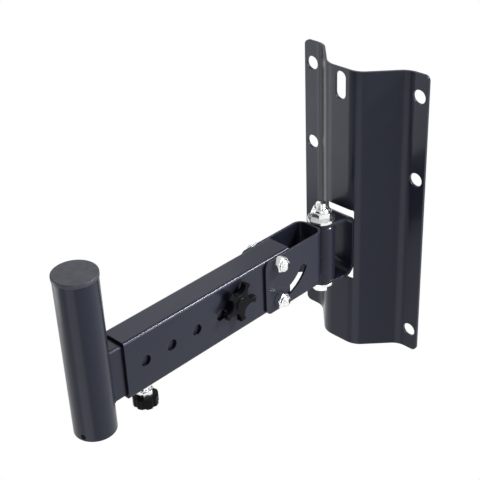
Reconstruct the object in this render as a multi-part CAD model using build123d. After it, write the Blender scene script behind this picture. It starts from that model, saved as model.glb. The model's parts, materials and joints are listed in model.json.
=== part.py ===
from build123d import *
import math
import os

# Swivelling and tilting wall bracket with a telescopic arm and a 35 mm loudspeaker pole.
# Millimetres. X runs along the wall, Y into the wall, Z up.
# The origin is the centre of the four corner screw holes on the back face of the wall plate.

# Wall plate: one folded sheet of hat section
plate_gauge = 2.5
plate_height = 282.0
plate_half_width = 69.0
plate_flange = 21.8             # side edge to where the riser would meet the wall, bends left out
plate_crown_half = 16.8         # where the riser would meet the back of the crown, bends left out
plate_depth = 34.0              # wall to the front face of the crown
plate_crown_bend = 17.5         # radius on the back surface
plate_foot_bend = 16.5          # radius on the front surface
plate_corner = 5.0
screw_hole_dia = 13.0
screw_side_margin = 9.0         # hole centre to the side edge of the plate
screw_end_margin = 21.0         # hole centre to the end of the plate
screw_middle_up = 41.0
hanging_slot_width = 11.5
hanging_slot_length = 26.0
hanging_slot_margin = 3.0

# Hinge bracket: a strap bent to a U, let into the window of the plate
window_half = 15.9
window_top_up = 6.5
window_bottom_down = 67.0
window_corner = 1.5
weld_gap = 0.2
strap_gauge = 3.0
strap_top_up = 3.8
strap_bottom_down = 59.5
strap_bend = 8.0                # inside radius
strap_back_out = 31.5           # back of the strap, out from the wall
strap_taper_out = 46.0
hinge_out = 59.4                # hinge axis, out from the wall
hinge_nose_radius = 12.4

# Fasteners: M10 at the hinge, M8 at the tilt joint
m10_dia = 10.0
m10_across = 17.0
m10_head_height = 6.4
m10_tail = 4.6                  # thread that stands out of a nut
m10_washer_dia = 25.0
m10_washer_gauge = 2.5
m8_dia = 8.0
m8_across = 13.0
m8_head_dia = 15.0
m8_head_height = 4.4
m8_head_dome = 3.0
m8_tail = 1.5
nut_hex_share = 0.7             # of the thread diameter, as the next five
nut_height_share = 1.0
nut_insert_share = 0.24
nut_insert_width_share = 1.28
thread_chamfer_share = 0.09
nut_collar_round_share = 0.14
nut_collar_step = 0.8           # from the flats of the hexagon in to the collar
nut_insert_cover = 0.5
bolt_hole_clear = 0.5           # on the diameter
edge_break = 0.6
corner_slope = 1.732            # hexagon corners are taken off at 30 degrees
hinge_bolt_turn = 41.2
cross_nut_turn = 12.0
thread_fit = 0.05               # radial, bolt in nut
running_fit = 0.075             # radial, pin in a bore that turns on it
face_fit = 0.1                  # between faces that slide on each other

# Hinge barrel and yoke
barrel_dia = 25.0
barrel_weld_gap = 0.3
thrust_gauge = 1.0
thrust_dia = 24.0
yoke_gauge = 2.0
yoke_bend = 7.0                 # inside radius
yoke_side_gap = 0.2             # each side of the outer tube
yoke_front = 88.5               # ahead of the hinge axis
yoke_top_step = 1.05            # below the top of the outer tube
yoke_bottom_step = 0.35         # below the bottom of the outer tube
yoke_corner = 6.0

# Arm: rectangular tubes
arm_drop = 22.0                 # axis of the arm below the origin
outer_height = 53.7
outer_width = 25.4
outer_wall = 2.0
outer_corner = 2.5
outer_back = 56.3               # ahead of the hinge axis
outer_front = 243.2
slide_gap = 0.5
inner_wall = 2.0
inner_corner = 2.0
inner_corner_min = 0.8
inner_back = 98.0
row_hole_dia = 10.0
row_first = 223.3
row_pitch = 27.6
row_count = 4

# Tilt joint
pivot_ahead = 72.0              # of the hinge axis
pivot_margin = 7.05             # below the top of the outer tube
tilt_bolt_margin = 9.85         # above the bottom of the outer tube
tilt_slot_start = 91.0          # degrees below the level line through the pivot
tilt_slot_end = 33.0
tilt_slot_width = 8.8

# Pole
pole_ahead = 270.0
pole_dia = 35.0
pole_wall = 2.0
pole_above = 96.6               # above the axis of the arm
pole_below = 45.2
pole_hole_dia = 4.5
pole_hole_up = 4.0
pole_hole_turn = 20.0
cap_dia = 36.0
cap_lip = 3.2
cap_edge = 0.8
cap_plug_depth = 9.0
cap_plug_gap = 0.1
cap_plug_wall = 2.0

# Side lock screw with star knob
lock_ahead = 124.0
lock_up = 6.5
lock_dia = 6.0
lock_knob_gap = 0.4             # to the side of the yoke, which the knob passes over
lock_knob_height = 5.6
lock_knob_radius = 18.0
lock_knob_notch = 7.2
lock_knob_notch_out = 16.4
lock_knob_lobes = 5
lock_knob_turn = 42.0
lock_knob_hub_radius = 6.2
lock_knob_hub_rise = 1.2
lock_knob_lobe_round = 1.2
lock_knob_rim_round = 1.0

# Bottom clamp screw with fluted knob
clamp_ahead = 218.0
clamp_dia = 8.0
clamp_nut_across = 13.0
clamp_nut_height = 6.4
clamp_knob_drop = 16.0          # underside of the tube to the top of the knob
clamp_knob_dia = 21.5
clamp_knob_height = 8.5
clamp_knob_flutes = 8
clamp_flute_radius = 2.4
clamp_flute_out = 1.4
clamp_nut_turn = 15.0
clamp_screw_in_knob = 6.0
screw_tip_gap = 0.3
overshoot = 1.0                 # how far a cutter runs past the face it leaves by

# Values that follow from the ones above
plate_foot_half = plate_half_width - plate_flange
screw_col_half = plate_half_width - screw_side_margin
screw_row_half = plate_height / 2 - screw_end_margin
hinge_y = -hinge_out
strap_half = window_half - weld_gap
strap_bottom = -strap_bottom_down
strap_inner_top = strap_top_up - strap_gauge
strap_inner_bottom = strap_bottom + strap_gauge
hinge_nut_base = strap_top_up + m10_washer_gauge
barrel_top = strap_inner_top - thrust_gauge - face_fit
barrel_bottom = strap_inner_bottom + thrust_gauge + face_fit
arm_z = -arm_drop
arm_top = arm_z + outer_height / 2
arm_bottom = arm_z - outer_height / 2
yoke_inner_half = outer_width / 2 + yoke_side_gap
yoke_outer_half = yoke_inner_half + yoke_gauge
yoke_back = barrel_dia / 2 + barrel_weld_gap
pivot_y = hinge_y - pivot_ahead
pivot_z = arm_top - pivot_margin
tilt_z = arm_bottom + tilt_bolt_margin
tilt_radius = pivot_z - tilt_z
inner_width = outer_width - 2 * (outer_wall + slide_gap)
inner_height = outer_height - 2 * (outer_wall + slide_gap)
pole_y = hinge_y - pole_ahead
pole_bore = pole_dia - 2 * pole_wall
pole_foot = arm_z - pole_below
pole_top = arm_z + pole_above
lock_y = hinge_y - lock_ahead
lock_z = arm_z + lock_up
lock_knob_face = yoke_outer_half + lock_knob_gap
clamp_y = hinge_y - clamp_ahead
clamp_knob_top = arm_bottom - clamp_knob_drop


def box_between(x0, x1, y0, y1, z0, z1):
    centre = Pos((x0 + x1) / 2, (y0 + y1) / 2, (z0 + z1) / 2)
    return centre * Box(x1 - x0, y1 - y0, z1 - z0)


def rod(radius, z0, z1):
    return Pos(0, 0, (z0 + z1) / 2) * Cylinder(radius, z1 - z0)


def ring(outer_radius, bore_radius, z0, z1):
    return rod(outer_radius, z0, z1) - rod(bore_radius, z0 - overshoot, z1 + overshoot)


def cross_rod(radius, x0, x1, y, z):
    """A rod parallel to X."""
    return Pos((x0 + x1) / 2, y, z) * Rot(0, 90, 0) * Cylinder(radius, x1 - x0)


def hex_prism(across_flats, z0, z1):
    outline = RegularPolygon(across_flats / 2, 6, major_radius=False)
    return extrude(Pos(0, 0, z0) * outline, z1 - z0)


def corner_cone(across_flats, z_wide, z_small):
    """A cone that takes the corners off a hexagon at its z_small end."""
    length = abs(z_small - z_wide)
    small = across_flats / 2 - edge_break / 2
    cone = Cone(small + length * corner_slope, small, length)
    if z_small < z_wide:
        cone = Rot(180, 0, 0) * cone
    return Pos(0, 0, (z_wide + z_small) / 2) * cone


def hex_nut(dia, across_flats, z_wide, z_small):
    """Plain nut with its corners taken off at the z_small end and a plain bore."""
    low = min(z_wide, z_small)
    high = max(z_wide, z_small)
    nut = hex_prism(across_flats, low, high) & corner_cone(across_flats, z_wide, z_small)
    return nut - rod(dia / 2, low - overshoot, high + overshoot)


def shank(dia, length):
    """The shank of a bolt, with the end of its thread taken off and its root inside the head."""
    plain = rod(dia / 2, -overshoot, length)
    return chamfer(plain.edges().sort_by(Axis.Z)[-1], thread_chamfer_share * dia)


def hex_bolt(grip):
    """M10 bolt, the head under z = 0 and the shank up through the grip, the nut and the tail."""
    head = hex_prism(m10_across, -m10_head_height, 0)
    head = head & corner_cone(m10_across, 0, -m10_head_height)
    return head + shank(m10_dia, grip + nut_height_share * m10_dia + m10_tail)


def round_bolt(grip):
    """M8 bolt with a low round head under z = 0."""
    head = rod(m8_head_dia / 2, -m8_head_height, 0)
    head = fillet(head.edges().sort_by(Axis.Z)[0], m8_head_dome)
    return head + shank(m8_dia, grip + nut_height_share * m8_dia + m8_tail)


def lock_nut(dia, across_flats, base):
    """Lock nut standing on z = base, with a groove under its rim for the plastic ring."""
    hex_top = base + nut_hex_share * dia
    top = base + nut_height_share * dia
    hexagon = hex_prism(across_flats, base, hex_top) & corner_cone(across_flats, base, hex_top)
    collar = rod(across_flats / 2 - nut_collar_step, base + overshoot, top)
    collar = fillet(collar.edges().sort_by(Axis.Z)[-1], nut_collar_round_share * dia)
    nut = hexagon + collar
    nut = nut - rod(dia / 2 + thread_fit, base - overshoot, top + overshoot)
    return nut - rod(nut_insert_width_share * dia / 2, top - nut_insert_share * dia, top - nut_insert_cover)


def nut_insert(dia, base):
    """The plastic ring in the groove of such a nut."""
    top = base + nut_height_share * dia
    seat = top - nut_insert_share * dia
    return ring(nut_insert_width_share * dia / 2, dia / 2 + thread_fit, seat, top - nut_insert_cover)


def washer(diameter, gauge, base):
    return ring(diameter / 2, (m10_dia + bolt_hole_clear) / 2, base, base + gauge)


def upright(solid, z):
    """Place a solid made along Z on the hinge axis."""
    return Pos(0, hinge_y, z) * solid


def across(solid, y, z):
    """Lay a solid made along Z down so that z = 0 is the -X side of the yoke and it points to +X."""
    return Pos(-yoke_outer_half, y, z) * Rot(0, 90, 0) * solid


# Pieces fixed to the wall

def hat_section():
    half_turn = math.atan2(plate_depth - plate_gauge, plate_foot_half - plate_crown_half) / 2
    shift = plate_gauge * math.tan(half_turn)
    crown_back = plate_gauge - plate_depth
    back = [(plate_half_width, 0), (plate_foot_half, 0), (plate_crown_half, crown_back)]
    front = [
        (plate_crown_half + shift, -plate_depth),
        (plate_foot_half + shift, -plate_gauge),
        (plate_half_width, -plate_gauge),
    ]
    left_back = [(-x, y) for x, y in reversed(back)]
    left_front = [(-x, y) for x, y in reversed(front)]
    face = make_face(Polyline(*back, *left_back, *left_front, *front, close=True))
    radii = [
        (back[1], plate_foot_bend + plate_gauge),
        (back[2], plate_crown_bend),
        (front[0], plate_crown_bend + plate_gauge),
        (front[1], plate_foot_bend),
    ]
    for (x, y), radius in radii:
        for side in (x, -x):
            corner = face.vertices().sort_by_distance((side, y, 0))[0]
            face = fillet(corner, radius)
    return face


def wall_plate():
    plate = extrude(Pos(0, 0, -plate_height / 2) * hat_section(), plate_height)
    corners = []
    for edge in plate.edges().filter_by(Axis.Y):
        if abs(edge.center().X) > screw_col_half:
            corners.append(edge)
    plate = fillet(corners, plate_corner)
    for z in (-screw_row_half, screw_middle_up, screw_row_half):
        for x in (-screw_col_half, screw_col_half):
            plate -= Pos(x, 0, z) * Rot(90, 0, 0) * Cylinder(screw_hole_dia / 2, 4 * plate_gauge)
    slot_top = plate_height / 2 - hanging_slot_margin
    slot_middle = slot_top - hanging_slot_length / 2
    slot = SlotOverall(hanging_slot_length, hanging_slot_width)
    slot = Pos(0, -plate_depth, slot_middle) * Rot(90, 0, 0) * Rot(0, 0, 90) * slot
    plate -= extrude(slot, 2 * plate_gauge, both=True)
    window = box_between(-window_half, window_half, -plate_depth - overshoot, -plate_depth / 2,
                         -window_bottom_down, window_top_up)
    window = fillet(window.edges().filter_by(Axis.Y), window_corner)
    return plate - window


def hinge_bracket():
    side = box_between(-strap_half, strap_half, hinge_y - hinge_nose_radius, -strap_back_out,
                       strap_bottom, strap_top_up)
    hollow = box_between(-plate_half_width, plate_half_width, hinge_y - 2 * hinge_nose_radius,
                         -strap_back_out - strap_gauge, strap_inner_bottom, strap_inner_top)
    hollow = fillet(hollow.edges().filter_by(Axis.X).sort_by(Axis.Y)[-2:], strap_bend)
    side = fillet(side.edges().filter_by(Axis.X).sort_by(Axis.Y)[-2:], strap_bend + strap_gauge)
    outline = make_face(Polyline(
        (-strap_half, -strap_back_out), (strap_half, -strap_back_out), (strap_half, -strap_taper_out),
        (hinge_nose_radius, hinge_y), (-hinge_nose_radius, hinge_y), (-strap_half, -strap_taper_out),
        close=True))
    outline = outline + Pos(0, hinge_y) * Circle(hinge_nose_radius)
    tall = strap_top_up - strap_bottom
    strap = (side - hollow) & extrude(Pos(0, 0, strap_bottom) * outline, tall)
    return strap - upright(rod((m10_dia + bolt_hole_clear) / 2, -tall, tall), 0)


def thrust_washers():
    top = washer(thrust_dia, thrust_gauge, strap_inner_top - thrust_gauge)
    bottom = washer(thrust_dia, thrust_gauge, strap_inner_bottom)
    return Compound(children=[upright(top, 0), upright(bottom, 0)])


def hinge_washers():
    top = washer(m10_washer_dia, m10_washer_gauge, strap_top_up)
    bottom = washer(m10_washer_dia, m10_washer_gauge, strap_bottom - m10_washer_gauge)
    return Compound(children=[upright(top, 0), upright(bottom, 0)])


def hinge_bolt():
    grip = strap_top_up - strap_bottom + 2 * m10_washer_gauge
    turned = Rot(0, 0, hinge_bolt_turn) * hex_bolt(grip)
    return upright(turned, strap_bottom - m10_washer_gauge)


def hinge_nut():
    return upright(lock_nut(m10_dia, m10_across, hinge_nut_base), 0)


def hinge_nut_insert():
    return upright(nut_insert(m10_dia, hinge_nut_base), 0)


# Pieces that swivel

def hinge_barrel():
    barrel = ring(barrel_dia / 2, m10_dia / 2 + running_fit, barrel_bottom, barrel_top)
    outer_edges = barrel.edges().filter_by(GeomType.CIRCLE).sort_by(SortBy.RADIUS)[-2:]
    return upright(chamfer(outer_edges, edge_break), 0)


def tilt_slot():
    """The slot through both ears that the locking bolt runs in, centred on the pivot."""
    low = math.radians(-tilt_slot_start)
    high = math.radians(-tilt_slot_end)
    outer_radius = tilt_radius + tilt_slot_width / 2
    inner_radius = tilt_radius - tilt_slot_width / 2
    reach = 2 * tilt_radius
    middle = (low + high) / 2
    sector = [(0, 0)]
    for angle in (low, middle, high):
        sector.append((reach * math.cos(angle), reach * math.sin(angle)))
    band = (Circle(outer_radius) - Circle(inner_radius)) & make_face(Polyline(*sector, close=True))
    for angle in (low, high):
        end = Pos(tilt_radius * math.cos(angle), tilt_radius * math.sin(angle))
        band = band + end * Circle(tilt_slot_width / 2)
    plane = Plane(origin=(-2 * yoke_outer_half, pivot_y, pivot_z), x_dir=(0, 1, 0), z_dir=(1, 0, 0))
    return extrude(plane * band, 4 * yoke_outer_half)


def yoke():
    """One sheet folded to a U round the rear end of the arm."""
    bottom = arm_bottom - yoke_bottom_step
    top = arm_top - yoke_top_step
    blank = box_between(-yoke_outer_half, yoke_outer_half, hinge_y - yoke_front, hinge_y - yoke_back,
                        bottom, top)
    blank = fillet(blank.edges().filter_by(Axis.Z).sort_by(Axis.Y)[-2:], yoke_bend + yoke_gauge)
    hollow = box_between(-yoke_inner_half, yoke_inner_half, hinge_y - 2 * yoke_front,
                         hinge_y - yoke_back - yoke_gauge, bottom - overshoot, top + overshoot)
    hollow = fillet(hollow.edges().filter_by(Axis.Z).sort_by(Axis.Y)[-2:], yoke_bend)
    channel = blank - hollow
    ear_corners = channel.edges().filter_by(Axis.X).sort_by(Axis.Y)[:4]
    channel = fillet(ear_corners, yoke_corner)
    reach = 2 * yoke_outer_half
    channel -= cross_rod((m8_dia + bolt_hole_clear) / 2, -reach, reach, pivot_y, pivot_z)
    return channel - tilt_slot()


def cross_bolt(z, gap):
    """Bolt through both ears of the yoke, its head and its nut held off them by the gap."""
    return Pos(-gap, 0, 0) * across(round_bolt(2 * (yoke_outer_half + gap)), pivot_y, z)


def cross_nut(z, gap):
    nut = lock_nut(m8_dia, m8_across, 2 * yoke_outer_half + gap)
    return across(Rot(0, 0, cross_nut_turn) * nut, pivot_y, z)


def cross_nut_insert(z, gap):
    return across(nut_insert(m8_dia, 2 * yoke_outer_half + gap), pivot_y, z)


# Pieces that tilt

def rect_tube(width, height, wall, corner, back, front):
    outside = RectangleRounded(width, height, corner)
    inside = RectangleRounded(width - 2 * wall, height - 2 * wall, max(corner - wall, inner_corner_min))
    plane = Plane(origin=(0, hinge_y - back, arm_z), x_dir=(1, 0, 0), z_dir=(0, -1, 0))
    return extrude(plane * (outside - inside), front - back)


def outer_tube():
    tube = rect_tube(outer_width, outer_height, outer_wall, outer_corner, outer_back, outer_front)
    outside = outer_width / 2 + overshoot
    inside = outer_width / 2 - 2 * outer_wall
    for i in range(row_count):
        y = hinge_y - row_first + i * row_pitch
        tube -= cross_rod(row_hole_dia / 2, inside, outside, y, arm_z)
    tube -= cross_rod(row_hole_dia / 2, inside, outside, lock_y, lock_z)
    tube -= cross_rod(m8_dia / 2 + running_fit, -outside, outside, pivot_y, pivot_z)
    tube -= cross_rod(m8_dia / 2 + thread_fit, -outside, outside, pivot_y, tilt_z)
    drill = rod((clamp_dia + bolt_hole_clear) / 2, arm_bottom - overshoot, arm_bottom + 2 * outer_wall)
    return tube - Pos(0, clamp_y, 0) * drill


def lock_press_nut():
    """A round nut pressed into the wall of the outer tube."""
    half = outer_width / 2
    nut = ring(row_hole_dia / 2, lock_dia / 2 + running_fit, half - outer_wall, half)
    return Pos(0, lock_y, lock_z) * Rot(0, 90, 0) * nut


def clamp_weld_nut():
    bore = clamp_dia + 2 * running_fit
    return Pos(0, clamp_y, 0) * hex_nut(bore, clamp_nut_across, arm_bottom, arm_bottom - clamp_nut_height)


# Pieces that telescope

def inner_tube():
    tube = rect_tube(inner_width, inner_height, inner_wall, inner_corner, inner_back, pole_ahead)
    return tube - Pos(0, pole_y, arm_z) * Cylinder(pole_dia / 2, 2 * outer_height)


def pole_tube():
    tube = ring(pole_dia / 2, pole_bore / 2, pole_foot, pole_top)
    hole = Rot(0, 0, pole_hole_turn) * Pos(0, -pole_dia / 2, pole_foot + pole_hole_up)
    tube -= hole * Rot(90, 0, 0) * Cylinder(pole_hole_dia / 2, 4 * pole_wall)
    return Pos(0, pole_y, 0) * tube


def pole_cap():
    head = rod(cap_dia / 2, pole_top, pole_top + cap_lip)
    head = fillet(head.edges().sort_by(Axis.Z)[-1], cap_edge)
    plug_radius = pole_bore / 2 - cap_plug_gap
    plug = ring(plug_radius, plug_radius - cap_plug_wall, pole_top - cap_plug_depth, pole_top)
    return Pos(0, pole_y, 0) * (head + plug)


# Screws and knobs

def lock_screw():
    tip = inner_width / 2 + screw_tip_gap
    top = lock_knob_face + lock_knob_height / 2
    return cross_rod(lock_dia / 2, tip, top, lock_y, lock_z)


def lock_knob():
    knob = rod(lock_knob_radius, 0, lock_knob_height)
    notch = rod(lock_knob_notch, -overshoot, lock_knob_height + overshoot)
    for i in range(lock_knob_lobes):
        turn = lock_knob_turn + 360 * i / lock_knob_lobes
        knob -= Rot(0, 0, turn) * Pos(lock_knob_notch_out, 0, 0) * notch
    knob = fillet(knob.edges().filter_by(Axis.Z), lock_knob_lobe_round)
    rim = knob.edges().group_by(Axis.Z)[-1]
    knob = fillet(rim, lock_knob_rim_round)
    hub = rod(lock_knob_hub_radius, 0, lock_knob_height + lock_knob_hub_rise)
    hub = chamfer(hub.edges().sort_by(Axis.Z)[-1], edge_break)
    knob = knob + hub
    knob -= rod(lock_dia / 2, -overshoot, lock_knob_height / 2)
    return Pos(lock_knob_face, lock_y, lock_z) * Rot(0, 90, 0) * knob


def clamp_screw():
    tip = arm_z - inner_height / 2 - screw_tip_gap
    return Pos(0, clamp_y, 0) * rod(clamp_dia / 2, clamp_knob_top - clamp_screw_in_knob, tip)


def clamp_jam_nut():
    nut = hex_nut(clamp_dia, clamp_nut_across, clamp_knob_top, clamp_knob_top + clamp_nut_height)
    return Pos(0, clamp_y, 0) * Rot(0, 0, clamp_nut_turn) * nut


def clamp_knob():
    bottom = clamp_knob_top - clamp_knob_height
    knob = rod(clamp_knob_dia / 2, bottom, clamp_knob_top)
    flute = rod(clamp_flute_radius, bottom - overshoot, clamp_knob_top + overshoot)
    flute = Pos(clamp_knob_dia / 2 + clamp_flute_out, 0, 0) * flute
    for i in range(clamp_knob_flutes):
        knob -= Rot(0, 0, 360 * i / clamp_knob_flutes) * flute
    knob -= rod(clamp_dia / 2, clamp_knob_top - clamp_screw_in_knob, clamp_knob_top + overshoot)
    return Pos(0, clamp_y, 0) * knob


os.makedirs("parts", exist_ok=True)
pieces = {
    "wall_plate": wall_plate(),
    "hinge_bracket": hinge_bracket(),
    "thrust_washers": thrust_washers(),
    "hinge_washers": hinge_washers(),
    "hinge_bolt": hinge_bolt(),
    "hinge_nut": hinge_nut(),
    "hinge_nut_insert": hinge_nut_insert(),
    "hinge_barrel": hinge_barrel(),
    "yoke": yoke(),
    "pivot_bolt": cross_bolt(pivot_z, 0),
    "pivot_nut": cross_nut(pivot_z, 0),
    "pivot_nut_insert": cross_nut_insert(pivot_z, 0),
    "tilt_bolt": cross_bolt(tilt_z, face_fit),
    "tilt_nut": cross_nut(tilt_z, face_fit),
    "tilt_nut_insert": cross_nut_insert(tilt_z, face_fit),
    "outer_tube": outer_tube(),
    "lock_press_nut": lock_press_nut(),
    "clamp_weld_nut": clamp_weld_nut(),
    "inner_tube": inner_tube(),
    "pole_tube": pole_tube(),
    "pole_cap": pole_cap(),
    "lock_screw": lock_screw(),
    "lock_knob": lock_knob(),
    "clamp_screw": clamp_screw(),
    "clamp_jam_nut": clamp_jam_nut(),
    "clamp_knob": clamp_knob(),
}
for name, piece in pieces.items():
    export_step(piece, f"parts/{name}.step")
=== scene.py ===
import json
import math

import bmesh
import bpy
from mathutils import Matrix, Vector


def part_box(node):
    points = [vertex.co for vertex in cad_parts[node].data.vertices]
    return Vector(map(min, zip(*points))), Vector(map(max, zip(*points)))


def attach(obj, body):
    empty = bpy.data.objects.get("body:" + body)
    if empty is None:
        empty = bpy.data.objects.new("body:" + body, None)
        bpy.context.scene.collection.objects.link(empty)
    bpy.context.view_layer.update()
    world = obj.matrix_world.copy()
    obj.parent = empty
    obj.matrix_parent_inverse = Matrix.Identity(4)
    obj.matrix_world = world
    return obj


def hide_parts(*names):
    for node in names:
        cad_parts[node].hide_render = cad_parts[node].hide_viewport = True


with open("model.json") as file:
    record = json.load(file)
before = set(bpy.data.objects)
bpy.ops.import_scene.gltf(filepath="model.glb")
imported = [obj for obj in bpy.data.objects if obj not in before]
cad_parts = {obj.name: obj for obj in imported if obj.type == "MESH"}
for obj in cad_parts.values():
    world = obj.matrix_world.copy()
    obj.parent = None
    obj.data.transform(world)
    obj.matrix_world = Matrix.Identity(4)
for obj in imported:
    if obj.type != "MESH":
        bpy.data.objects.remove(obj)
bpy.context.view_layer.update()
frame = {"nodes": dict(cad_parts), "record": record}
nodes = frame["nodes"]

# Wall bracket for a loudspeaker, in metres. X runs along the wall, Y into it and Z up.

UP = Vector((0, 0, 1))

# Colours, linear
COAT_DARK = (0.0088, 0.0098, 0.0168)
COAT_LIGHT = (0.0108, 0.0120, 0.0205)
COAT_SHINE = (0.74, 0.80, 1.0, 1)       # tint of its reflections
EDGE_WEAR_AND_HIGHLIGHT = 2.2                      # worn edges with a painted edge highlight, against the light coat
ZINC_DARK = (0.86, 0.87, 0.88)
ZINC_LIGHT = (0.95, 0.95, 0.95)
KNOB_BLACK = (0.003, 0.003, 0.004)
CAP_BLACK = (0.024, 0.025, 0.033)
RING_WHITE = (0.62, 0.64, 0.67)
THRUST_BLACK = (0.020, 0.020, 0.022)
PLASTIC_LIGHTER = 1.35                  # the light clouds of a plastic, against its colour
WHITE = (1, 1, 1, 1)
STAGE_PALE = (0.8, 0.8, 0.8, 1)

# Rolled-over edges, and the reach of the shade painted into hollows
COAT_EDGE = 0.0007
ZINC_EDGE = 0.0003
PLASTIC_EDGE = 0.0005
PAINTED_SHADE_REACH = 0.03

# Screw threads, each a radius and a pitch
M10 = (0.005, 0.0015)
M8 = (0.004, 0.00125)
M6 = (0.003, 0.001)
THREAD_POINTS = 40                      # in a ring
THREAD_RINGS = 10                       # in a pitch
THREAD_DEPTH = 0.6                      # of the pitch
FLANK_SLOPE = 2.6                       # steepness of the flanks
FLANK_START = 0.15                      # taken off their rise, which leaves roots and crests flat
CUT_IN_NUT = 0.0006                     # from the nut's outer end
THREAD_IN_SHANK = 0.0004                # from the cut

# Weld beads
BEAD_POINTS = 10
BEAD_RADIUS = 0.0011
BEAD_STEP = 0.0005
BEAD_MEAN = 0.86                        # of the radius
BEAD_END = 0.35                         # of the thickness there
RIPPLE = 0.14                           # of the radius
RIPPLE_STEPS = 5                        # from crest to crest
WANDER = 0.05                           # of the radius
WANDER_TURN = 0.9                       # radians in a step
BARREL_BEAD_ASIDE = 0.0052              # from the hinge axis
BARREL_BEAD_AHEAD = 0.0121              # from the hinge axis
BARREL_BEAD_INSET = 0.002               # from each end of the seam
STRAP_BEAD_ASIDE = 0.0157               # from the middle of the strap
STRAP_BEAD_SUNK = 0.0002
STRAP_BEAD_INSET = 0.011                # from each end of the seam
POLE_BEAD_RADIUS = 0.0010
POLE_BEAD_STEP = 0.0006
TUBE_CORNER = 0.002
CORNER_STEPS = 4

# Plug in the small hole at the foot of the pole
PLUG_TURN = 20.0                        # degrees from the side that faces away from the wall
PLUG_UP = 0.004
PLUG_POINTS = 32
PLUG_RINGS = ((0.0156, 0.00224), (0.0168, 0.00224), (0.0170, 0.0019))   # out from the axis, radius

# Camera, fitted to the photograph
CAMERA_PLACE = Vector((0.5771, -0.7187, 0.5110))
CAMERA_TURN = (46.03, 31.03, -2.67)     # azimuth, pitch downwards and roll, in degrees
FOCAL_PIXELS = 1123.9
IMAGE_PIXELS = 480.0
SENSOR = 36.0

# Sky, and lamps with their place, size and watts
SKY = 0.66
SKY_BELOW = 0.45                        # brightness of its foot, against its top
LAMP_TARGET = Vector((0.0, -0.17, -0.01))
LAMPS = (
    ("left_low", (-1.1, -0.95, -0.35), (0.8, 0.8), 5.0),
    ("right_back", (1.45, 0.45, 0.1), (0.7, 0.7), 14.0),
    ("front_low", (0.35, -1.3, -0.7), (0.8, 0.8), 2.4),
    ("left_back", (-1.2, 0.5, 0.8), (0.7, 0.7), 1.6),
    ("edge", (0.71, 0.50, 0.79), (0.34, 0.16), 29.0),
    ("front_right", (1.1, -1.15, 0.15), (0.8, 0.8), 5.0),
)
BACKDROP_AHEAD = 2.6
FLOOR_HEIGHT = -1.2
STAGE_HALF = 3.0


# Shader helpers

def new_material(name):
    mat = bpy.data.materials.new(name)
    mat.use_nodes = True
    tree = mat.node_tree
    shader = next(n for n in tree.nodes if n.type == "BSDF_PRINCIPLED")
    return mat, tree, shader


def add(tree, kind, **values):
    """A new node. Each value is set on the socket of that name, or else on the node itself."""
    node = tree.nodes.new(kind)
    for key, value in values.items():
        if key in node.inputs:
            node.inputs[key].default_value = value
        else:
            setattr(node, key, value)
    return node


def noise(tree, scale, detail=3.0, rough=0.5):
    """Noise over the piece's own metres."""
    place = add(tree, "ShaderNodeTexCoord")
    out = add(tree, "ShaderNodeTexNoise", Scale=scale, Detail=detail, Roughness=rough)
    tree.links.new(place.outputs["Object"], out.inputs["Vector"])
    return out.outputs["Fac"]


def ramp(tree, source, low, high, at_low=0.3, at_high=0.7):
    """From low to high as the source goes from at_low to at_high."""
    out = add(tree, "ShaderNodeMapRange")
    out.inputs["From Min"].default_value = at_low
    out.inputs["From Max"].default_value = at_high
    out.inputs["To Min"].default_value = low
    out.inputs["To Max"].default_value = high
    tree.links.new(source, out.inputs["Value"])
    return out.outputs["Result"]


def mix_colour(tree, share, first, second):
    """The first colour, which may be a node's output, and as much of the second as the share says."""
    out = add(tree, "ShaderNodeMix", data_type="RGBA")
    colours = [s for s in out.inputs if s.type == "RGBA"]
    if isinstance(first, bpy.types.NodeSocket):
        tree.links.new(first, colours[0])
    else:
        colours[0].default_value = (*first, 1)
    colours[1].default_value = (*second, 1)
    tree.links.new(share, out.inputs["Factor"])
    return next(s for s in out.outputs if s.type == "RGBA")


def add_bump(tree, shader, height, strength, distance, below):
    bump = add(tree, "ShaderNodeBump", Strength=strength, Distance=distance)
    tree.links.new(height, bump.inputs["Height"])
    tree.links.new(below, bump.inputs["Normal"])
    tree.links.new(bump.outputs["Normal"], shader.inputs["Normal"])
    return bump.outputs["Normal"]


def soft_edges(tree, radius):
    """The surface normal with every sharp edge rolled over by the radius."""
    bevel = add(tree, "ShaderNodeBevel", Radius=radius, samples=8)
    return bevel.outputs["Normal"]


def edge_wear_and_highlight_mask(tree, rounded):
    """Near 1 on sharp edges, where the rounded normal leaves the flat one; the coat is lightened there for
    wear and as a painted highlight.
    """
    flat = add(tree, "ShaderNodeNewGeometry")
    dot = add(tree, "ShaderNodeVectorMath", operation="DOT_PRODUCT")
    tree.links.new(rounded, dot.inputs[0])
    tree.links.new(flat.outputs["Normal"], dot.inputs[1])
    return ramp(tree, dot.outputs["Value"], low=1.0, high=0.0, at_low=0.80, at_high=0.985)


def painted_shade_mask(tree, reach):
    """1 in the open, less in hollows and corners, where it darkens the coat as painted shade."""
    hollow = add(tree, "ShaderNodeAmbientOcclusion", Distance=reach, samples=8)
    return hollow.outputs["AO"]


# Materials

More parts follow.
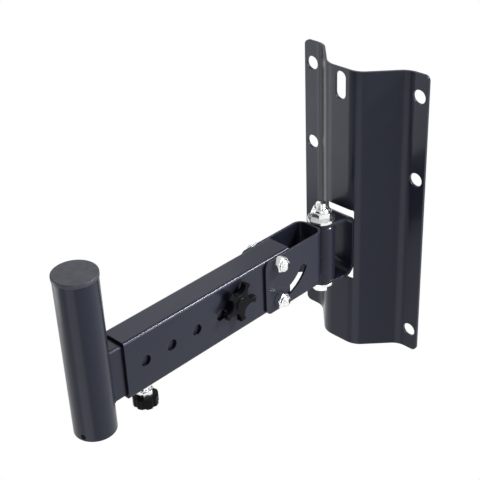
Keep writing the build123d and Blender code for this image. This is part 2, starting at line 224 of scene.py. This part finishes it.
def powder_coat(name):
    """Black coat with faint clouds, a fine orange peel, lighter worn edges that double as a painted
    highlight, and painted shade in hollows.
    """
    mat, tree, shader = new_material(name)
    rounded = soft_edges(tree, COAT_EDGE)
    cloudy = noise(tree, scale=9.0, detail=4.0, rough=0.6)
    clouds = ramp(tree, cloudy, low=0, high=1, at_low=0.2, at_high=0.8)
    patch = mix_colour(tree, clouds, COAT_DARK, COAT_LIGHT)
    # Lighter edges, partly wear and partly a painted edge highlight
    edge_colour = tuple(EDGE_WEAR_AND_HIGHLIGHT * c for c in COAT_LIGHT)
    worn_and_highlit = mix_colour(tree, edge_wear_and_highlight_mask(tree, rounded), patch, edge_colour)
    # Painted shade: the coat's colour is darkened in hollows and corners by the ambient occlusion
    painted_shade_share = ramp(tree, painted_shade_mask(tree, PAINTED_SHADE_REACH), low=0.30, high=1.0, at_low=0.25, at_high=0.80)
    colour_under_painted_shade = add(tree, "ShaderNodeVectorMath", operation="SCALE")
    tree.links.new(worn_and_highlit, colour_under_painted_shade.inputs[0])
    tree.links.new(painted_shade_share, colour_under_painted_shade.inputs["Scale"])
    tree.links.new(colour_under_painted_shade.outputs[0], shader.inputs["Base Color"])
    tree.links.new(ramp(tree, noise(tree, scale=40.0), low=0.28, high=0.34), shader.inputs["Roughness"])
    grain = noise(tree, scale=1400.0, detail=2.0)
    grained = add_bump(tree, shader, grain, strength=0.03, distance=0.0001, below=rounded)
    peel = noise(tree, scale=420.0, detail=2.0)
    add_bump(tree, shader, peel, strength=0.05, distance=0.0003, below=grained)
    shader.inputs["Specular IOR Level"].default_value = 0.18
    shader.inputs["Specular Tint"].default_value = COAT_SHINE
    shader.inputs["Coat Weight"].default_value = 0.15
    shader.inputs["Coat Roughness"].default_value = 0.12
    return mat


def zinc(name):
    mat, tree, shader = new_material(name)
    clouds = ramp(tree, noise(tree, scale=160.0), low=0, high=1)
    tree.links.new(mix_colour(tree, clouds, ZINC_DARK, ZINC_LIGHT), shader.inputs["Base Color"])
    tree.links.new(ramp(tree, noise(tree, scale=300.0), low=0.14, high=0.24), shader.inputs["Roughness"])
    grain = noise(tree, scale=500.0, detail=2.0)
    add_bump(tree, shader, grain, strength=0.05, distance=0.0001, below=soft_edges(tree, ZINC_EDGE))
    shader.inputs["Metallic"].default_value = 1.0
    return mat


def plastic(name, colour, rough, grain_scale, gloss):
    mat, tree, shader = new_material(name)
    clouds = ramp(tree, noise(tree, scale=120.0), low=0, high=1)
    lighter = tuple(PLASTIC_LIGHTER * c for c in colour)
    tree.links.new(mix_colour(tree, clouds, colour, lighter), shader.inputs["Base Color"])
    tree.links.new(ramp(tree, noise(tree, scale=260.0), *rough), shader.inputs["Roughness"])
    grain = noise(tree, scale=grain_scale, detail=2.0)
    add_bump(tree, shader, grain, strength=0.15, distance=0.00012, below=soft_edges(tree, PLASTIC_EDGE))
    shader.inputs["Specular IOR Level"].default_value = gloss
    return mat


by_slot = {
    "powder_coat": powder_coat("powder_coat"),
    "powder_coat_arm": powder_coat("powder_coat_arm"),
    "powder_coat_pole": powder_coat("powder_coat_pole"),
    "zinc": zinc("zinc"),
    "knob": plastic("knob", KNOB_BLACK, rough=(0.28, 0.36), grain_scale=700.0, gloss=0.05),
    "cap": plastic("cap", CAP_BLACK, rough=(0.42, 0.55), grain_scale=1200.0, gloss=0.3),
    "nut_ring": plastic("nut_ring", RING_WHITE, rough=(0.40, 0.5), grain_scale=900.0, gloss=0.5),
    "thrust": plastic("thrust", THRUST_BLACK, rough=(0.45, 0.55), grain_scale=900.0, gloss=0.3),
}
for part in frame["record"]["subparts"]:
    node = nodes[part["node"]]
    node.data.materials.clear()
    node.data.materials.append(by_slot[part["material_slot"]])


# Mesh helpers

def new_piece(name, work):
    """An object from a bmesh, which is freed."""
    mesh = bpy.data.meshes.new(name)
    work.to_mesh(mesh)
    work.free()
    piece = bpy.data.objects.new(name, mesh)
    bpy.context.scene.collection.objects.link(piece)
    return piece


def circle(middle, side, other, radius, count):
    turns = [2 * math.pi * i / count for i in range(count)]
    return [middle + side * radius * math.cos(t) + other * radius * math.sin(t) for t in turns]


def tube_of_rings(name, rings, closed=False):
    """A smooth skin over rings of points, with a cap at each end unless its last ring is its first."""
    work = bmesh.new()
    rows = [[work.verts.new(p) for p in ring] for ring in rings]
    for low, high in zip(rows, rows[1:]):
        for a in range(len(low)):
            b = (a + 1) % len(low)
            work.faces.new((low[a], low[b], high[b], high[a]))
    if not closed:
        work.faces.new(list(reversed(rows[0])))
        work.faces.new(rows[-1])
    bmesh.ops.recalc_face_normals(work, faces=work.faces)
    if closed:
        bmesh.ops.remove_doubles(work, verts=work.verts, dist=1e-7)
    piece = new_piece(name, work)
    for face in piece.data.polygons:
        face.use_smooth = True
    return piece


def join_part(piece, body, slot):
    piece.data.materials.append(by_slot[slot])
    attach(piece, body)


def upright_tube(node):
    """Where the axis of an upright CAD tube lies in Y, and the radius of the tube."""
    low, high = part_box(node)
    radius = (high[0] - low[0]) / 2
    return low[1] + radius, radius


hinge_y = upright_tube("hinge_barrel")[0]
pole_y, pole_radius = upright_tube("pole_tube")


# Screw threads

def thread_rings(start, direction, length, thread, taper_first):
    """Rings of a screw thread from start along direction, tapered at its last end or at both."""
    radius, pitch = thread
    depth = THREAD_DEPTH * pitch
    count = max(2, round(length / pitch * THREAD_RINGS))
    axis = Vector(direction)
    side = axis.orthogonal().normalized()
    other = axis.cross(side)
    rings = []
    for j in range(count + 1):
        along = length * j / count
        middle = Vector(start) + axis * along
        ring = []
        for i in range(THREAD_POINTS):
            turn = 2 * math.pi * i / THREAD_POINTS
            phase = (along / pitch - i / THREAD_POINTS) % 1.0
            rise = min(1.0, max(0.0, FLANK_SLOPE * (0.5 - abs(phase - 0.5)) - FLANK_START))
            reach = min(radius - depth * (1 - rise), radius - depth + (length - along))
            if taper_first:
                reach = min(reach, radius - depth + along)
            ring.append(middle + side * reach * math.cos(turn) + other * reach * math.sin(turn))
        rings.append(ring)
    return rings


def threaded_tail(node, body, cut, direction, length, thread):
    """The CAD bolt again, with its smooth end cut off and a threaded one in its place."""
    work = bmesh.new()
    work.from_mesh(nodes[node].data)
    geometry = work.verts[:] + work.edges[:] + work.faces[:]
    bmesh.ops.bisect_plane(work, geom=geometry, plane_co=cut, plane_no=direction, clear_outer=True)
    shank = new_piece(node + "_shank", work)
    join_part(shank, body, "zinc")
    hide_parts(node)
    start = Vector(cut) - Vector(direction) * THREAD_IN_SHANK
    rings = thread_rings(start, direction, length + THREAD_IN_SHANK, thread, taper_first=False)
    join_part(tube_of_rings(node + "_thread", rings), body, "zinc")


def upright_bolt(node, nut, body, y, thread):
    """An upright bolt at X = 0, threaded past its nut."""
    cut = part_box(nut)[1][2] - CUT_IN_NUT
    threaded_tail(node, body, (0, y, cut), (0, 0, 1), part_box(node)[1][2] - cut, thread)


def cross_bolt(node, nut, body, thread):
    """A bolt along X, threaded past its nut."""
    low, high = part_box(node)
    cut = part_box(nut)[1][0] - CUT_IN_NUT
    place = (cut, (low[1] + high[1]) / 2, (low[2] + high[2]) / 2)
    threaded_tail(node, body, place, (1, 0, 0), high[0] - cut, thread)


def threaded_rod(node, body, start, direction, length, thread):
    """A thread in the place of the whole CAD rod."""
    rings = thread_rings(start, direction, length, thread, taper_first=True)
    rod = tube_of_rings(node + "_thread", rings)
    join_part(rod, body, "zinc")
    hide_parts(node)


def upright_rod(node, body, thread):
    """An upright rod at X = 0, threaded from end to end."""
    low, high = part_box(node)
    foot = (0, (low[1] + high[1]) / 2, low[2])
    threaded_rod(node, body, foot, (0, 0, 1), high[2] - low[2], thread)


def cross_rod(node, body, thread):
    """A rod along X, threaded from end to end."""
    low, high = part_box(node)
    left_end = (low[0], (low[1] + high[1]) / 2, (low[2] + high[2]) / 2)
    threaded_rod(node, body, left_end, (1, 0, 0), high[0] - low[0], thread)


upright_bolt("hinge_bolt", "hinge_nut", "wall_side", hinge_y, M10)
cross_bolt("pivot_bolt", "pivot_nut", "swivel_side", M8)
cross_bolt("tilt_bolt", "tilt_nut", "arm", M8)
upright_rod("clamp_screw", "clamp", M8)
cross_rod("lock_screw", "lock", M6)


# Weld beads

def bead(name, body, path, radius, closed=False):
    """A weld bead along a path, swelling and shrinking like laid ripples."""
    last = len(path) - 1
    rings = []
    for j, point in enumerate(path):
        before, after = path[max(j - 1, 0)], path[min(j + 1, last)]
        if closed:
            before, after = path[j - 1], path[(j + 1) % len(path)]
        tangent = (after - before).normalized()
        upright = abs(tangent.z) >= 0.99
        side = (tangent.orthogonal() if upright else tangent.cross(UP)).normalized()
        ripple = RIPPLE * math.cos(2 * math.pi * j / RIPPLE_STEPS)
        wander = WANDER * math.sin(WANDER_TURN * j)
        thick = radius * (BEAD_MEAN + ripple + wander)
        if not closed and j in (0, last):
            thick *= BEAD_END
        rings.append(circle(point, side, tangent.cross(side), thick, BEAD_POINTS))
    if closed:
        rings.append(rings[0])
    join_part(tube_of_rings(name, rings, closed), body, "powder_coat")


def upright_line(x, y, low, high):
    start, end = Vector((x, y, low)), Vector((x, y, high))
    count = max(2, round((high - low) / BEAD_STEP))
    return [start.lerp(end, i / count) for i in range(count + 1)]


def tube_on_pole():
    """Where the outside of the inner tube meets the round pole, once round."""
    low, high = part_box("inner_tube")
    half = (high[0] - low[0]) / 2 - TUBE_CORNER
    bottom, top = low[2] + TUBE_CORNER, high[2] - TUBE_CORNER
    outline = []
    for x, z, first in ((half, top, 0), (-half, top, 90), (-half, bottom, 180), (half, bottom, 270)):
        for i in range(CORNER_STEPS + 1):
            turn = math.radians(first + 90 / CORNER_STEPS * i)
            outline.append(Vector((x + TUBE_CORNER * math.cos(turn), 0, z + TUBE_CORNER * math.sin(turn))))
    path = []
    for a, b in zip(outline, outline[1:] + outline[:1]):
        count = max(1, round((b - a).length / POLE_BEAD_STEP))
        for i in range(count):
            p = a.lerp(b, i / count)
            path.append(Vector((p.x, pole_y + math.sqrt(pole_radius ** 2 - p.x ** 2), p.z)))
    return path


yoke_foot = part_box("yoke")[0][2]
barrel_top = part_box("hinge_barrel")[1][2]
strap_low, strap_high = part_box("hinge_bracket")
for side, label in ((1, "right"), (-1, "left")):
    bead("weld_barrel_" + label, "swivel_side",
         upright_line(side * BARREL_BEAD_ASIDE, hinge_y - BARREL_BEAD_AHEAD,
                      yoke_foot + BARREL_BEAD_INSET, barrel_top - BARREL_BEAD_INSET), BEAD_RADIUS)
    bead("weld_strap_" + label, "wall_side",
         upright_line(side * STRAP_BEAD_ASIDE, strap_high[1] - STRAP_BEAD_SUNK,
                      strap_low[2] + STRAP_BEAD_INSET, strap_high[2] - STRAP_BEAD_INSET), BEAD_RADIUS)
bead("weld_pole", "slide_side", tube_on_pole(), POLE_BEAD_RADIUS, closed=True)


# Plug

def pole_hole_plug():
    """A dark plug pressed in the small hole at the foot of the pole, a little below its surface."""
    turn = math.radians(PLUG_TURN)
    outward = Vector((math.sin(turn), -math.cos(turn), 0))
    middle = Vector((0, pole_y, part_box("pole_tube")[0][2] + PLUG_UP))
    rings = [circle(middle + outward * out, UP, outward.cross(UP), radius, PLUG_POINTS)
             for out, radius in PLUG_RINGS]
    join_part(tube_of_rings("pole_hole_plug", rings), "slide_side", "knob")


pole_hole_plug()


# Camera

def aim_camera():
    """Makes the scene's camera and returns the direction that it looks in."""
    azimuth, pitch, roll = (math.radians(v) for v in CAMERA_TURN)
    level_ahead = Vector((-math.sin(azimuth), math.cos(azimuth), 0))
    ahead = level_ahead * math.cos(pitch) - UP * math.sin(pitch)
    level_right = ahead.cross(UP).normalized()
    level_up = level_right.cross(ahead)
    right = level_right * math.cos(roll) + level_up * math.sin(roll)
    up = level_up * math.cos(roll) - level_right * math.sin(roll)
    data = bpy.data.cameras.new("camera")
    data.sensor_width = SENSOR
    data.lens = FOCAL_PIXELS * SENSOR / IMAGE_PIXELS
    data.clip_start = 0.05
    data.clip_end = 20.0
    cam = bpy.data.objects.new("camera", data)
    bpy.context.scene.collection.objects.link(cam)
    turned = Matrix((right, up, -ahead)).transposed()
    cam.matrix_world = Matrix.Translation(CAMERA_PLACE) @ turned.to_4x4()
    bpy.context.scene.camera = cam
    return ahead


ahead = aim_camera()


# Light, floor and backdrop

def area_light(name, place, size, watts):
    data = bpy.data.lights.new(name, "AREA")
    data.shape = "RECTANGLE"
    data.size, data.size_y = size
    data.energy = watts
    lamp = bpy.data.objects.new(name, data)
    bpy.context.scene.collection.objects.link(lamp)
    lamp.location = place
    lamp.rotation_mode = "QUATERNION"
    lamp.rotation_quaternion = (LAMP_TARGET - Vector(place)).to_track_quat("-Z", "Y")


def mix_to_output(tree, out_kind, share, plain, white):
    """Ends the tree in the plain shader, and as much of the white one as the share says."""
    out = tree.nodes.new(out_kind)
    mix = tree.nodes.new("ShaderNodeMixShader")
    tree.links.new(share, mix.inputs[0])
    tree.links.new(plain.outputs[0], mix.inputs[1])
    tree.links.new(white.outputs[0], mix.inputs[2])
    tree.links.new(mix.outputs[0], out.inputs["Surface"])


def white_world():
    """A soft sky, brighter above than below, that the camera itself sees as plain white."""
    world = bpy.data.worlds.new("world")
    bpy.context.scene.world = world
    world.use_nodes = True
    tree = world.node_tree
    tree.nodes.clear()
    place = tree.nodes.new("ShaderNodeTexCoord")
    split = tree.nodes.new("ShaderNodeSeparateXYZ")
    tree.links.new(place.outputs["Generated"], split.inputs[0])
    brightness = ramp(tree, split.outputs["Z"], low=SKY_BELOW, high=1.0, at_low=-0.7, at_high=0.6)
    sky = add(tree, "ShaderNodeBackground", Strength=SKY)
    tree.links.new(brightness, sky.inputs["Color"])
    white = add(tree, "ShaderNodeBackground", Color=WHITE)
    ray = tree.nodes.new("ShaderNodeLightPath")
    mix_to_output(tree, "ShaderNodeOutputWorld", ray.outputs["Is Camera Ray"], sky, white)


def stage_white():
    """Plain pale surface that the camera and the part's reflections see as white."""
    mat = bpy.data.materials.new("stage_white")
    mat.use_nodes = True
    tree = mat.node_tree
    tree.nodes.clear()
    plain = add(tree, "ShaderNodeBsdfDiffuse", Color=STAGE_PALE)
    white = add(tree, "ShaderNodeEmission", Color=WHITE, Strength=1.0)
    ray = tree.nodes.new("ShaderNodeLightPath")
    either = add(tree, "ShaderNodeMath", operation="MAXIMUM")
    tree.links.new(ray.outputs["Is Camera Ray"], either.inputs[0])
    tree.links.new(ray.outputs["Is Glossy Ray"], either.inputs[1])
    mix_to_output(tree, "ShaderNodeOutputMaterial", either.outputs[0], plain, white)
    return mat


def stage_sheet(name, centre, facing, mat):
    work = bmesh.new()
    bmesh.ops.create_grid(work, x_segments=4, y_segments=4, size=STAGE_HALF)
    sheet = new_piece(name, work)
    sheet.location = centre
    sheet.rotation_mode = "QUATERNION"
    sheet.rotation_quaternion = facing.to_track_quat("Z", "Y")
    sheet.data.materials.append(mat)


white_world()
pale = stage_white()
stage_sheet("backdrop", CAMERA_PLACE + ahead * BACKDROP_AHEAD, -ahead, pale)
stage_sheet("floor", Vector((0, 0, FLOOR_HEIGHT)), UP, pale)
for label, place, size, watts in LAMPS:
    area_light(label, place, size, watts)

bpy.context.scene.view_settings.view_transform = "Standard"
